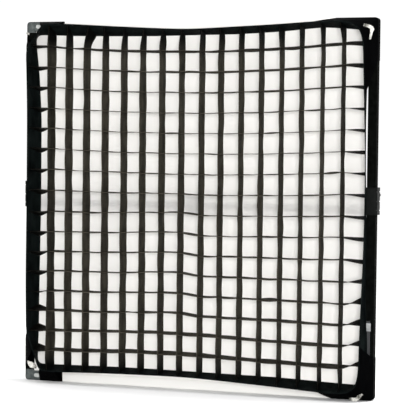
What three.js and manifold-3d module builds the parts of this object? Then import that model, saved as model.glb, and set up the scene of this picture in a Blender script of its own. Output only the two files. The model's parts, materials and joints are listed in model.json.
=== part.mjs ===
// A square diffusion panel for studio light: a knock-down frame of square tube, a white
// diffuser stretched across it, a fabric egg crate in front and a crossbar with a tilting
// stand mount behind. Millimetres, +Z up. X runs along the width and the panel faces -Y.
// The origin is on the floor under the centre of the frame: y = 0 is the tubes' mid-plane.
import * as THREE from 'three';
import { mergeVertices } from 'three/addons/utils/BufferGeometryUtils.js';
import Module from 'manifold-3d';

const wasm = await Module();
wasm.setup();

// ---- driving dimensions ----
const FRAME_SIZE = 1067; // outside the tubes, both ways: a 42 in panel
const TUBE = 25.4; // 1 in square tube
const TUBE_WALL = 1.6;
const GAP = 0.3; // between touching pieces
const CLOTH = 1.2; // a sewn hem or pocket wall
const ELBOW_ARM_ALONG = 48; // the elbow's arm along the top or bottom rail
const ELBOW_ARM_UPRIGHT = 30;
const ELBOW_CORNER_RADIUS = 4;
const SPIGOT_LENGTH = 45;
const SPIGOT_WALL = 2.2;
const JOINER_LENGTH = 100;
const POCKET_LENGTH = 118; // of each leg of a corner pocket
const POCKET_WINDOW = 50; // the pocket's front is open over the corner's button
const CRATE_CELLS = 17; // both ways
const CRATE_PITCH = 58.65;
const CRATE_DEPTH = 58;
const CRATE_SLAT = 1;
const BORDER_SPREAD = 8; // the border's corners are pulled out this far beyond an even grid
const BORDER_SAG = 8; // how far the border's middle is drawn in between its corners
const COLLAR_RIBS = [10.5, 24, 22, 11]; // heights of the ribs, from the top
const COLLAR_GROOVE = 3;
const COLLAR_RISE = 24; // the collar's middle stands this far above the crossbar
const BAR_SET_BACK = 4; // the crossbar sits behind the frame's mid-plane
const STUD_BORE = 16.3; // takes a 16 mm stand spigot

// ---- worked out from them ----
const HALF = FRAME_SIZE / 2;
const HALF_TUBE = TUBE / 2;
const RAIL_LINE = HALF - HALF_TUBE; // from the panel's centre to a rail's centre line
const CENTRE_Z = CLOTH + GAP + HALF;
const SPIGOT = TUBE - 2 * TUBE_WALL - 2 * GAP;
const SPIGOT_BORE = SPIGOT - 2 * SPIGOT_WALL;
const SHEET_FRONT = -HALF_TUBE - GAP - CLOTH; // the diffuser lies flush with the sleeves' fronts
const CRATE_BACK = SHEET_FRONT - GAP;
const CRATE_FRONT = CRATE_BACK - CRATE_DEPTH;
const BORDER_HALF = (CRATE_CELLS * CRATE_PITCH) / 2 + BORDER_SPREAD;
const REAR_REACH = -CRATE_FRONT; // the mount reaches as far back as the crate reaches forward
const GROOVES = COLLAR_GROOVE * (COLLAR_RIBS.length - 1);
const COLLAR_HEIGHT = COLLAR_RIBS.reduce((sum, rib) => sum + rib, 0) + GROOVES;

const panel = new THREE.Group();
panel.position.set(0, 0, CENTRE_Z); // everything below is placed from the panel's centre

// ---- materials ----
function material(color, roughness, metalness) {
  return new THREE.MeshStandardMaterial({ color, roughness, metalness });
}
const BLACK_TUBE = material(0x101312, 0.42, 0.6);
const BARE_TUBE = material(0xa9acae, 0.4, 0.9);
const CAST_SLATE = material(0x2b3336, 0.55, 0.4);
const BUTTON_GREY = material(0x8d8f8c, 0.45, 0.1);
const MOULDED_BLACK = material(0x0c0c0d, 0.5, 0);
const STEEL = material(0x8f9193, 0.3, 1);
const NYLON = material(0xd8d4c6, 0.5, 0);
const DIFFUSER_CLOTH = material(0xf4f3f1, 0.9, 0);
const CRATE_CLOTH = material(0x1d1b18, 0.85, 0);
const POCKET_CLOTH = material(0x0b0c0d, 0.8, 0);
const WEBBING = material(0x121314, 0.8, 0);
const SLIDER_GREY = material(0x77797a, 0.5, 0);

// ---- solids ----
function solid(geometry) {
  const bare = geometry.clone();
  bare.deleteAttribute('normal');
  bare.deleteAttribute('uv');
  const merged = mergeVertices(bare, 1e-4);
  return new wasm.Manifold(new wasm.Mesh({
    numProp: 3,
    vertProperties: new Float32Array(merged.attributes.position.array),
    triVerts: new Uint32Array(merged.index.array),
  }));
}

function geometryOf(body) {
  const mesh = body.getMesh();
  const geometry = new THREE.BufferGeometry();
  geometry.setAttribute('position', new THREE.BufferAttribute(new Float32Array(mesh.vertProperties), 3));
  geometry.setIndex(new THREE.BufferAttribute(new Uint32Array(mesh.triVerts), 1));
  geometry.computeVertexNormals();
  return geometry;
}

// A block given by its lowest and highest corners.
function block(low, high) {
  const size = high.map((value, i) => value - low[i]);
  const geometry = new THREE.BoxGeometry(...size);
  geometry.translate(...low.map((value, i) => value + size[i] / 2));
  return solid(geometry);
}

// A round bar between two points that differ along one axis only.
const ROUND_SIDES = 20;
function rod(radius, from, to, sides = ROUND_SIDES) {
  const start = new THREE.Vector3(...from);
  const end = new THREE.Vector3(...to);
  const along = end.clone().sub(start);
  const geometry = new THREE.CylinderGeometry(radius, radius, along.length(), sides);
  const direction = along.clone().normalize();
  geometry.applyQuaternion(new THREE.Quaternion().setFromUnitVectors(new THREE.Vector3(0, 1, 0), direction));
  geometry.translate(...start.add(end).multiplyScalar(0.5).toArray());
  return solid(geometry);
}

// An outline drawn in x and z, with its thickness from y = front to y = back.
function plate(shape, front, back) {
  const settings = { depth: back - front, bevelEnabled: false, curveSegments: 8 };
  const geometry = new THREE.ExtrudeGeometry(shape, settings);
  geometry.rotateX(Math.PI / 2);
  geometry.translate(0, back, 0);
  return solid(geometry);
}

function addPiece(name, body, look) {
  const mesh = new THREE.Mesh(geometryOf(body), look);
  mesh.name = name;
  panel.add(mesh);
}

// A mirror or turn of a piece made once: sides are 1 or -1.
function mirrored(body, sideX, sideZ) {
  let result = body;
  if (sideX < 0) result = result.mirror([1, 0, 0]);
  if (sideZ < 0) result = result.mirror([0, 0, 1]);
  return result;
}

const CORNERS = [
  { name: 'top_left', x: -1, z: 1 },
  { name: 'top_right', x: 1, z: 1 },
  { name: 'bottom_left', x: -1, z: -1 },
  { name: 'bottom_right', x: 1, z: -1 },
];
const SIDES = [{ name: 'left', x: -1 }, { name: 'right', x: 1 }];

// ---- corner elbows and their release buttons ----
const INNER_EDGE = HALF - TUBE;
const ARM_END_X = HALF - ELBOW_ARM_ALONG;
const ARM_END_Z = HALF - ELBOW_ARM_UPRIGHT;
const BUTTON = { x: HALF - 36, length: 19, height: 11, proud: 1.2 };
const TOOTH = { x: HALF - 66, radius: 3 };

function capsule(centreX, centreZ, length, height) {
  const radius = height / 2;
  const straight = length / 2 - radius;
  const shape = new THREE.Shape();
  shape.moveTo(centreX - straight, centreZ - radius);
  shape.lineTo(centreX + straight, centreZ - radius);
  shape.absarc(centreX + straight, centreZ, radius, -Math.PI / 2, Math.PI / 2, false);
  shape.lineTo(centreX - straight, centreZ + radius);
  shape.absarc(centreX - straight, centreZ, radius, Math.PI / 2, Math.PI * 1.5, false);
  return shape;
}

// The top right elbow; the others are its mirror images.
function elbow() {
  const hub = new THREE.Shape();
  const rounded = HALF - ELBOW_CORNER_RADIUS;
  hub.moveTo(ARM_END_X, INNER_EDGE);
  hub.lineTo(INNER_EDGE, INNER_EDGE);
  hub.lineTo(INNER_EDGE, ARM_END_Z);
  hub.lineTo(HALF, ARM_END_Z);
  hub.lineTo(HALF, rounded);
  hub.absarc(rounded, rounded, ELBOW_CORNER_RADIUS, 0, Math.PI / 2, false);
  hub.lineTo(ARM_END_X, HALF);
  hub.closePath();
  const half = SPIGOT / 2;
  const bore = SPIGOT_BORE / 2;
  const spigotAlong = block(
    [ARM_END_X - SPIGOT_LENGTH, -half, RAIL_LINE - half],
    [INNER_EDGE, half, RAIL_LINE + half],
  );
  const spigotUpright = block(
    [RAIL_LINE - half, -half, ARM_END_Z - SPIGOT_LENGTH],
    [RAIL_LINE + half, half, INNER_EDGE],
  );
  const boreAlong = block(
    [ARM_END_X - SPIGOT_LENGTH - 1, -bore, RAIL_LINE - bore],
    [RAIL_LINE + bore, bore, RAIL_LINE + bore],
  );
  const boreUpright = block(
    [RAIL_LINE - bore, -bore, ARM_END_Z - SPIGOT_LENGTH - 1],
    [RAIL_LINE + bore, bore, RAIL_LINE + bore],
  );
  const buttonHole = plate(
    capsule(BUTTON.x, RAIL_LINE, BUTTON.length + 2 * GAP, BUTTON.height + 2 * GAP),
    -HALF_TUBE - 1,
    0,
  );
  const toothHole = rod(TOOTH.radius + GAP, [TOOTH.x, -HALF_TUBE, RAIL_LINE], [TOOTH.x, 0, RAIL_LINE]);
  return plate(hub, -HALF_TUBE, HALF_TUBE)
    .add(spigotAlong)
    .add(spigotUpright)
    .subtract(boreAlong)
    .subtract(boreUpright)
    .subtract(buttonHole)
    .subtract(toothHole);
}

// The button, its leaf and the latch tooth that holds the rail on the spigot, in one piece.
const LEAF = { thickness: 1.2, height: 9 };
function releaseButton() {
  const leafFront = -SPIGOT_BORE / 2 + 0.6;
  const button = plate(
    capsule(BUTTON.x, RAIL_LINE, BUTTON.length, BUTTON.height),
    -HALF_TUBE - BUTTON.proud,
    leafFront,
  );
  const tooth = rod(
    TOOTH.radius,
    [TOOTH.x, -HALF_TUBE + TUBE_WALL / 2, RAIL_LINE],
    [TOOTH.x, leafFront + LEAF.thickness / 2, RAIL_LINE],
  );
  const leaf = block(
    [TOOTH.x - TOOTH.radius - 3, leafFront, RAIL_LINE - LEAF.height / 2],
    [BUTTON.x + BUTTON.length / 2, leafFront + LEAF.thickness, RAIL_LINE + LEAF.height / 2],
  );
  return leaf.add(button).add(tooth);
}

function addCorners() {
  for (const corner of CORNERS) {
    addPiece(`corner_elbow_${corner.name}`, mirrored(elbow(), corner.x, corner.z), CAST_SLATE);
    addPiece(`release_button_${corner.name}`, mirrored(releaseButton(), corner.x, corner.z), BUTTON_GREY);
  }
}

// ---- half rails, with the joiner inside the middle of each side ----
const RIVET = { at: 25, radius: 2.4, headRadius: 3.6, head: 1.4 };

// A square tube along x or z, hollow and open at both ends.
function squareTube(axis, outer, wall, from, to, centre) {
  const along = axis === 'x' ? 0 : 2;
  const bar = (reach, extra) => {
    const low = centre.map((value) => value - reach);
    const high = centre.map((value) => value + reach);
    low[along] = from - extra;
    high[along] = to + extra;
    return block(low, high);
  };
  return bar(outer / 2, 0).subtract(bar(outer / 2 - wall, 1));
}

function rivetHole(x, z) {
  return rod(RIVET.radius + 0.1, [x, 0, z], [x, HALF_TUBE + 1, z]);
}

function addLevelRails() {
  for (const [name, sideZ] of [['top', 1], ['bottom', -1]]) {
    const z = sideZ * RAIL_LINE;
    for (const side of SIDES) {
      const reach = [GAP / 2, ARM_END_X - GAP].map((value) => side.x * value).sort((a, b) => a - b);
      let rail = squareTube('x', TUBE, TUBE_WALL, reach[0], reach[1], [0, 0, z]);
      const toothX = side.x * TOOTH.x;
      rail = rail.subtract(rod(TOOTH.radius + GAP, [toothX, -HALF_TUBE - 1, z], [toothX, 0, z]));
      if (side.x > 0) rail = rail.subtract(rivetHole(RIVET.at, z));
      addPiece(`${name}_rail_${side.name}`, rail, BLACK_TUBE);
    }
    const joiner = squareTube('x', SPIGOT, SPIGOT_WALL, -JOINER_LENGTH / 2, JOINER_LENGTH / 2, [0, 0, z]);
    addPiece(`${name}_rail_joiner`, joiner.subtract(rivetHole(RIVET.at, z)), BARE_TUBE);
    addPiece(`${name}_joiner_rivet`, rivet(RIVET.at, z), STEEL);
  }
}

function addUprightRails() {
  for (const side of SIDES) {
    const x = side.x * RAIL_LINE;
    for (const [name, sideZ] of [['upper', 1], ['lower', -1]]) {
      const reach = [GAP / 2, ARM_END_Z - GAP].map((value) => sideZ * value).sort((a, b) => a - b);
      let rail = squareTube('z', TUBE, TUBE_WALL, reach[0], reach[1], [x, 0, 0]);
      if (sideZ < 0) rail = rail.subtract(rivetHole(x, -RIVET.at));
      addPiece(`${side.name}_rail_${name}`, rail, BLACK_TUBE);
    }
    const joiner = squareTube('z', SPIGOT, SPIGOT_WALL, -JOINER_LENGTH / 2, JOINER_LENGTH / 2, [x, 0, 0]);
    addPiece(`${side.name}_rail_joiner`, joiner.subtract(rivetHole(x, -RIVET.at)), BARE_TUBE);
    addPiece(`${side.name}_joiner_rivet`, rivet(x, -RIVET.at), STEEL);
  }
}

// A rivet flush with the rail's back face, closed over inside the joiner.
function rivet(x, z) {
  const inside = SPIGOT_BORE / 2;
  const shank = rod(RIVET.radius, [x, inside - RIVET.head, z], [x, HALF_TUBE, z], 12);
  const head = rod(RIVET.headRadius, [x, inside - GAP - RIVET.head, z], [x, inside - GAP, z], 12);
  return shank.add(head);
}

// ---- crossbar with its ribbed collars ----
const COLLAR = { front: 3, inner: 3, outer: 2.4, rib: 2.6, back: 8 };
const SOCKET = { reach: 40, wall: 2.5 };
const BAR_END = INNER_EDGE - GAP - COLLAR.inner - 1.5;
const COLLAR_LOW = COLLAR_RISE - COLLAR_HEIGHT / 2;
const COLLAR_HIGH = COLLAR_RISE + COLLAR_HEIGHT / 2;
const COLLAR_BACK = HALF_TUBE + GAP + COLLAR.back;
const CLAMP_Z = COLLAR_HIGH - 22;
const PAD = { radius: 7, thickness: 2 };
const CLAMP_SCREW_RADIUS = 4;
const BAR_SCREW = { x: BAR_END - 14, z: 0, radius: 2.5, headRadius: 4.5, head: 3 };
const BAR_BACK = BAR_SET_BACK + HALF_TUBE;
const SLEEVE_OF_BAR = HALF_TUBE + GAP; // half the hole that takes the bar's end

// The collar on the right rail, with the socket for the crossbar's end on its inner side.
function collar() {
  const slack = HALF_TUBE + GAP;
  const wallX = RAIL_LINE + slack + COLLAR.outer;
  const innerX = RAIL_LINE - slack - COLLAR.inner;
  let body = block(
    [innerX, -slack - COLLAR.front, COLLAR_LOW],
    [wallX, COLLAR_BACK, COLLAR_HIGH],
  );
  let ribTop = COLLAR_HIGH;
  for (const rib of COLLAR_RIBS) {
    const ridge = block([wallX - 1, -slack, ribTop - rib], [wallX + COLLAR.rib, COLLAR_BACK - 3, ribTop]);
    body = body.add(ridge);
    ribTop -= rib + COLLAR_GROOVE;
  }
  const cup = SLEEVE_OF_BAR + SOCKET.wall;
  const socket = block(
    [innerX - SOCKET.reach, BAR_SET_BACK - cup, -cup],
    [innerX + 1, BAR_SET_BACK + cup, cup],
  );
  const socketHole = block(
    [innerX - SOCKET.reach - 1, BAR_SET_BACK - SLEEVE_OF_BAR, -SLEEVE_OF_BAR],
    [BAR_END + GAP, BAR_SET_BACK + SLEEVE_OF_BAR, SLEEVE_OF_BAR],
  );
  const railHole = block(
    [RAIL_LINE - slack, -slack, COLLAR_LOW - 10],
    [RAIL_LINE + slack, slack, COLLAR_HIGH + 10],
  );
  const hole = (radius, depth) => rod(radius + GAP, [RAIL_LINE, 0, CLAMP_Z], [RAIL_LINE, depth, CLAMP_Z]);
  const padSeat = hole(PAD.radius, slack + PAD.thickness + 2 * GAP);
  const screwHole = hole(CLAMP_SCREW_RADIUS, COLLAR_BACK + 1);
  const barScrewHole = rod(
    BAR_SCREW.radius + GAP,
    [BAR_SCREW.x, BAR_SET_BACK, BAR_SCREW.z],
    [BAR_SCREW.x, BAR_BACK + SOCKET.wall + 5, BAR_SCREW.z],
  );
  return body
    .add(socket)
    .subtract(socketHole)
    .subtract(railHole)
    .subtract(padSeat)
    .subtract(screwHole)
    .subtract(barScrewHole);
}

const KNOB = { radius: 16, lobes: 6, lobeDepth: 2.4, thickness: 13, stand: 2.5 };

// A lobed hand knob with its screw, along +y from y = tip to the knob's back.
function lobedKnob(x, z, tip, seat, radius, screwRadius, back) {
  const shape = new THREE.Shape();
  const steps = KNOB.lobes * 6;
  for (let i = 0; i < steps; i += 1) {
    const angle = (i / steps) * Math.PI * 2;
    const reach = radius - KNOB.lobeDepth * (0.5 - 0.5 * Math.cos(KNOB.lobes * angle));
    const point = [x + reach * Math.cos(angle), z + reach * Math.sin(angle)];
    if (i === 0) shape.moveTo(...point);
    else shape.lineTo(...point);
  }
  shape.closePath();
  const screw = rod(screwRadius, [x, tip, z], [x, seat + 1, z], 16);
  return plate(shape, seat, back).add(screw);
}

function addCrossbar() {
  const centre = [0, BAR_SET_BACK, 0];
  let bar = squareTube('x', TUBE, TUBE_WALL, -BAR_END, BAR_END, centre);
  for (const side of SIDES) {
    const x = side.x * BAR_SCREW.x;
    bar = bar.subtract(rod(BAR_SCREW.radius + GAP, [x, BAR_SET_BACK, 0], [x, BAR_BACK + 1, 0]));
  }
  addPiece('crossbar_tube', bar, BLACK_TUBE);
  const padBack = HALF_TUBE + GAP + PAD.thickness;
  const socketBack = BAR_BACK + GAP + SOCKET.wall;
  for (const side of SIDES) {
    const x = side.x * RAIL_LINE;
    addPiece(`crossbar_collar_${side.name}`, mirrored(collar(), side.x, 1), MOULDED_BLACK);
    const pad = rod(PAD.radius, [x, HALF_TUBE + GAP, CLAMP_Z], [x, padBack, CLAMP_Z]);
    addPiece(`clamp_pad_${side.name}`, pad, NYLON);
    const seat = COLLAR_BACK + KNOB.stand;
    const back = seat + KNOB.thickness;
    const knob = lobedKnob(x, CLAMP_Z, padBack + GAP, seat, KNOB.radius, CLAMP_SCREW_RADIUS, back);
    addPiece(`clamp_knob_${side.name}`, knob, MOULDED_BLACK);
    const screwX = side.x * BAR_SCREW.x;
    const headSeat = socketBack + GAP;
    const shank = rod(BAR_SCREW.radius, [screwX, BAR_BACK - 4, 0], [screwX, headSeat + 1, 0], 12);
    const head = rod(BAR_SCREW.headRadius, [screwX, headSeat, 0], [screwX, headSeat + BAR_SCREW.head, 0], 12);
    addPiece(`bar_end_screw_${side.name}`, shank.add(head), STEEL);
  }
}

// ---- stand mount on the crossbar ----
const SADDLE = { halfWidth: 24, flange: 13, back: 5.5, capThickness: 2.8 };
const SADDLE_BACK = BAR_BACK + GAP + SADDLE.back;
const BAR_FRONT = BAR_SET_BACK - HALF_TUBE;
const HINGE_Y = SADDLE_BACK + 18;
const EYE = { halfWidth: 7, radius: 12, bore: 4.3 };
const WASHER = { thickness: 1, radius: 10 };
const EAR = { inner: EYE.halfWidth + WASHER.thickness + 2 * GAP, thickness: 8, radius: 12 };
const SOCKET_TUBE = { radius: 14, top: -13, bottom: -64 };
const LOCK_Z = -46;
const BOLT_RADIUS = 4;
const SADDLE_SCREW = { x: 17, z: HALF_TUBE + GAP + 7, radius: 2.5, headRadius: 4.3, head: 4 };

function disc(radius, fromX, toX, sides = 28) {
  return rod(radius, [fromX, HINGE_Y, 0], [toX, HINGE_Y, 0], sides);
}

function addSaddle() {
  const top = HALF_TUBE + GAP;
  const reach = top + SADDLE.flange;
  let saddle = block([-SADDLE.halfWidth, BAR_FRONT, -reach], [SADDLE.halfWidth, SADDLE_BACK, reach])
    .subtract(block([-SADDLE.halfWidth - 1, BAR_FRONT - 1, -top], [SADDLE.halfWidth + 1, BAR_BACK + GAP, top]));
  for (const side of SIDES) {
    const near = side.x * EAR.inner;
    const far = side.x * (EAR.inner + EAR.thickness);
    const low = Math.min(near, far);
    const high = Math.max(near, far);
    saddle = saddle
      .add(block([low, SADDLE_BACK - 1, -EAR.radius], [high, HINGE_Y, EAR.radius]))
      .add(disc(EAR.radius, low, high));
  }
  saddle = saddle.subtract(disc(BOLT_RADIUS + GAP, -SADDLE.halfWidth, SADDLE.halfWidth));
  let cap = block(
    [-SADDLE.halfWidth, BAR_FRONT - GAP - SADDLE.capThickness, -reach],
    [SADDLE.halfWidth, BAR_FRONT - GAP, reach],
  );
  const shankTip = BAR_FRONT - GAP - SADDLE.capThickness;
  const headSeat = SADDLE_BACK + GAP;
  for (const corner of CORNERS) {
    const x = corner.x * SADDLE_SCREW.x;
    const z = corner.z * SADDLE_SCREW.z;
    const hole = rod(SADDLE_SCREW.radius + GAP, [x, shankTip - 1, z], [x, SADDLE_BACK + 1, z]);
    saddle = saddle.subtract(hole);
    cap = cap.subtract(hole);
    const screw = rod(SADDLE_SCREW.radius, [x, shankTip, z], [x, headSeat + 1, z], 12)
      .add(rod(SADDLE_SCREW.headRadius, [x, headSeat, z], [x, headSeat + SADDLE_SCREW.head, z], 12));
    addPiece(`saddle_screw_${corner.name}`, screw, STEEL);
  }
  addPiece('mount_saddle', saddle, CAST_SLATE);
  addPiece('mount_saddle_cap', cap, CAST_SLATE);
}

// The socket turns on the tilt bolt and takes the stand's spigot from below.
function addTiltSocket() {
  const socket = disc(EYE.radius, -EYE.halfWidth, EYE.halfWidth)
    .add(block([-EYE.halfWidth, HINGE_Y - 9, SOCKET_TUBE.top - 2], [EYE.halfWidth, HINGE_Y + 9, 0]))
    .add(rod(SOCKET_TUBE.radius, [0, HINGE_Y, SOCKET_TUBE.bottom], [0, HINGE_Y, SOCKET_TUBE.top], 32))
    .subtract(rod(STUD_BORE / 2, [0, HINGE_Y, SOCKET_TUBE.bottom - 1], [0, HINGE_Y, SOCKET_TUBE.top - 6], 32))
    .subtract(disc(EYE.bore, -EYE.halfWidth - 1, EYE.halfWidth + 1))
    .subtract(rod(CLAMP_SCREW_RADIUS + GAP, [0, HINGE_Y, LOCK_Z], [0, HINGE_Y + 20, LOCK_Z]));
  addPiece('tilt_socket', socket, CAST_SLATE);

  for (const side of SIDES) {
    const near = side.x * (EYE.halfWidth + GAP);
    const far = side.x * (EYE.halfWidth + GAP + WASHER.thickness);
    const washer = disc(WASHER.radius, Math.min(near, far), Math.max(near, far), 20)
      .subtract(disc(BOLT_RADIUS + GAP, -SADDLE.halfWidth, SADDLE.halfWidth));
    addPiece(`friction_washer_${side.name}`, washer, NYLON);
  }

  const earOut = EAR.inner + EAR.thickness;
  const leverHub = { radius: 8.5, length: 14 };
  const boltHead = disc(6.5, -earOut - GAP - 5, -earOut - GAP, 6);
  const boltTip = earOut + leverHub.length - 4;
  addPiece('tilt_bolt', boltHead.add(disc(BOLT_RADIUS, -earOut - GAP - 1, boltTip, 16)), STEEL);

  const hubStart = earOut + GAP;
  const arm = { start: hubStart + 6, width: 7, depth: 10, top: 58 };
  const lever = disc(leverHub.radius, hubStart, hubStart + leverHub.length, 20)
    .add(block(
      [arm.start, HINGE_Y - arm.depth / 2, 0],
      [arm.start + arm.width, HINGE_Y + arm.depth / 2, arm.top],
    ))
    .subtract(disc(BOLT_RADIUS + GAP, hubStart - 1, boltTip + GAP));
  addPiece('tilt_lever', lever, MOULDED_BLACK);

  const lockTip = HINGE_Y + STUD_BORE / 2 + GAP;
  const lockSeat = HINGE_Y + SOCKET_TUBE.radius + 1.5;
  const lockKnob = lobedKnob(0, LOCK_Z, lockTip, lockSeat, 15, CLAMP_SCREW_RADIUS, REAR_REACH);
  addPiece('socket_lock_knob', lockKnob, MOULDED_BLACK);
}

// ---- cloth ----
const POCKET_INNER = HALF_TUBE + GAP;
const POCKET_OUTER = POCKET_INNER + CLOTH;
const SLEEVE_END = HALF - POCKET_LENGTH - 2;
const SHEET_EDGE = INNER_EDGE - 1;
const SHEET_SIDE_SAG = 13;
const SHEET_THICKNESS = CLOTH - GAP;
const SHEET_HALF_HEIGHT = RAIL_LINE - POCKET_OUTER - GAP;

// A side that bows towards the panel's centre: its offset from the straight line, t from -1 to 1.
function bow(sag, t) {
  return sag * (1 - t * t);
}

const BOW_STEPS = 12;
// A square outline whose four sides bow inward by sagX (left and right) and sagZ (top and bottom).
function bowedOutline(halfX, halfZ, sagX, sagZ) {
  const points = [];
  for (let i = 0; i < BOW_STEPS; i += 1) {
    const t = -1 + (2 * i) / BOW_STEPS;
    points.push([halfX - bow(sagX, t), halfZ * t]);
  }
  for (let i = 0; i < BOW_STEPS; i += 1) {
    const t = -1 + (2 * i) / BOW_STEPS;
    points.push([-halfX * t, halfZ - bow(sagZ, t)]);
  }
  return [...points, ...points.map(([x, z]) => [-x, -z])];
}

function outlineShape(points) {
  const shape = new THREE.Shape();
  points.forEach(([x, z], i) => (i === 0 ? shape.moveTo(x, z) : shape.lineTo(x, z)));
  shape.closePath();
  return shape;
}

function addDiffuser() {
  const outline = outlineShape(bowedOutline(SHEET_EDGE, SHEET_HALF_HEIGHT, SHEET_SIDE_SAG, 0));
  addPiece('diffuser_sheet', plate(outline, SHEET_FRONT, SHEET_FRONT + SHEET_THICKNESS), DIFFUSER_CLOTH);
  for (const [name, sideZ] of [['top', 1], ['bottom', -1]]) {
    const centre = [0, 0, sideZ * RAIL_LINE];
    const sleeve = squareTube('x', 2 * POCKET_OUTER, CLOTH, -SLEEVE_END, SLEEVE_END, centre);
    addPiece(`diffuser_sleeve_${name}`, sleeve, DIFFUSER_CLOTH);
  }
}

// Webbing down the front of each upright rail, tightened by a slider.
const STRAP = { width: 10, thickness: 1.2, low: -HALF + POCKET_LENGTH + 4, high: -HALF + 222 };
const SLIDER = { width: 14, height: 22, thickness: 3.6, z: -HALF + 205 };

function addStraps() {
  for (const side of SIDES) {
    const x = side.x * (INNER_EDGE + 10);
    const front = -HALF_TUBE - GAP - STRAP.thickness;
    const strap = block(
      [x - STRAP.width / 2, front, STRAP.low],
      [x + STRAP.width / 2, front + STRAP.thickness, STRAP.high],
    );
    addPiece(`tension_strap_${side.name}`, strap, WEBBING);
    const sliderBack = front + STRAP.thickness;
    const slot = STRAP.width / 2 + GAP;
    const slider = block(
      [x - SLIDER.width / 2, sliderBack - SLIDER.thickness, SLIDER.z - SLIDER.height / 2],
      [x + SLIDER.width / 2, sliderBack, SLIDER.z + SLIDER.height / 2],
    ).subtract(block(
      [x - slot, front - GAP, SLIDER.z - SLIDER.height],
      [x + slot, sliderBack + 1, SLIDER.z + SLIDER.height],
    ));
    addPiece(`strap_slider_${side.name}`, slider, SLIDER_GREY);
  }
}

// The slats cross each other and are sewn where they cross, so they are one piece of cloth.
function addCrate() {
  const slat = CRATE_SLAT / 2;
  let lattice = null;
  for (let i = 1; i < CRATE_CELLS; i += 1) {
    const at = (i - CRATE_CELLS / 2) * CRATE_PITCH;
    const end = BORDER_HALF - bow(BORDER_SAG, at / BORDER_HALF) - CRATE_SLAT - 2 * GAP;
    const upright = block([at - slat, CRATE_FRONT, -end], [at + slat, CRATE_BACK, end]);
    const level = block([-end, CRATE_FRONT, at - slat], [end, CRATE_BACK, at + slat]);
    lattice = lattice ? lattice.add(upright).add(level) : upright.add(level);
  }
  addPiece('crate_slats', lattice, CRATE_CLOTH);

  const within = BORDER_HALF - CRATE_SLAT;
  const outer = bowedOutline(BORDER_HALF, BORDER_HALF, BORDER_SAG, BORDER_SAG);
  const inner = bowedOutline(within, within, BORDER_SAG, BORDER_SAG);
  const band = plate(outlineShape(outer), CRATE_FRONT, CRATE_BACK)
    .subtract(plate(outlineShape(inner), CRATE_FRONT - 1, CRATE_BACK + 1));
  addPiece('crate_border', band, POCKET_CLOTH);
}

// The top right pocket: an L-shaped cloth sleeve over the elbow and the rails' ends.
function cornerPocket() {
  const outer = HALF + GAP + CLOTH;
  const inside = HALF + GAP;
  const end = HALF - POCKET_LENGTH;
  const lip = INNER_EDGE - GAP; // the inside of the pocket's inner walls
  const wrap = block([end, -POCKET_OUTER, end], [outer, POCKET_OUTER, outer])
    .subtract(block([end - 1, -POCKET_OUTER - 1, end - 1], [lip - CLOTH, POCKET_OUTER + 1, lip - CLOTH]));
  const hollow = block([end - 1, -POCKET_INNER, lip], [inside, POCKET_INNER, inside])
    .add(block([lip, -POCKET_INNER, end - 1], [inside, POCKET_INNER, inside]));
  const window = block(
    [HALF - POCKET_WINDOW, -POCKET_OUTER - 1, HALF - POCKET_WINDOW],
    [inside, -POCKET_INNER + 1, inside],
  );
  return wrap.subtract(hollow).subtract(window);
}

function addPockets() {
  for (const corner of CORNERS) {
    addPiece(`corner_pocket_${corner.name}`, mirrored(cornerPocket(), corner.x, corner.z), POCKET_CLOTH);
  }
}

addCorners();
addLevelRails();
addUprightRails();
addCrossbar();
addSaddle();
addTiltSocket();
addDiffuser();
addStraps();
addCrate();
addPockets();

export default panel;
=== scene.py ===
"""The looks of a square diffusion panel: white cloth stretched on a black square-tube frame,
with a slack fabric egg crate in front of it and black cloth pockets over the frame's corners.
Metres, Z up. The panel faces -Y, X runs along its width, and its centre is CENTRE_Z above the floor."""
import json
import math
import random

import bpy
import numpy as np
from mathutils import Matrix, Vector


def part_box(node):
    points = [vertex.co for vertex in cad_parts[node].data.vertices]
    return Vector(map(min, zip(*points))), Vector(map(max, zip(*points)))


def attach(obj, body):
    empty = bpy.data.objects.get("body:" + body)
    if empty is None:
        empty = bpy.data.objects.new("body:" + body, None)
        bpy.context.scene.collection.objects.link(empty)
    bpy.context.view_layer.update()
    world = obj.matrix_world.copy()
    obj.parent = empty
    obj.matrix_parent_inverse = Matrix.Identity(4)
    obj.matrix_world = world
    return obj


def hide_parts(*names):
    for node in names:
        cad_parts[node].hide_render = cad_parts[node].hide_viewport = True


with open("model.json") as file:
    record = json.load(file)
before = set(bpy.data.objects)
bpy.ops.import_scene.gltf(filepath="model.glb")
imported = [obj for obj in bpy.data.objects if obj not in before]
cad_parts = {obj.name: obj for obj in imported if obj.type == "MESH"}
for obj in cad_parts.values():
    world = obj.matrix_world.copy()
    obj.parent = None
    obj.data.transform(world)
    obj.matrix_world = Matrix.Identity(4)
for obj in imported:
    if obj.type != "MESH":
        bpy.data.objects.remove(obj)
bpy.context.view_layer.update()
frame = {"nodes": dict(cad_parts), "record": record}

MM = 0.001
NODES = frame["nodes"]

# ---- driving dimensions, in millimetres unless they say otherwise ----
CAMERA_PLACE = (1.6339, -4.6212, 0.7385)  # metres
CAMERA_YAW = 19.314  # degrees; the camera stands to the right of the panel's axis
CAMERA_PITCH = 2.496
CAMERA_ROLL = 0.566
CAMERA_LENS = 145.8603
SENSOR_SIDE = 36  # the longer side of the camera's sensor

CELLS = 17  # of the egg crate, both ways
PITCH_ACROSS = 58.65
PITCH_DOWN = 58.3
STEPS = 8  # stations along a slat in each cell

COVE_LIGHT = 1.02  # strength of the white backdrop behind the panel
ROOM_LIGHT = 0.7  # and in front of it
SKY_LIGHT = 0.35  # how much is added straight overhead


def box_mm(node):
    low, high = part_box(node)
    return [v / MM for v in low], [v / MM for v in high]


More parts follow.
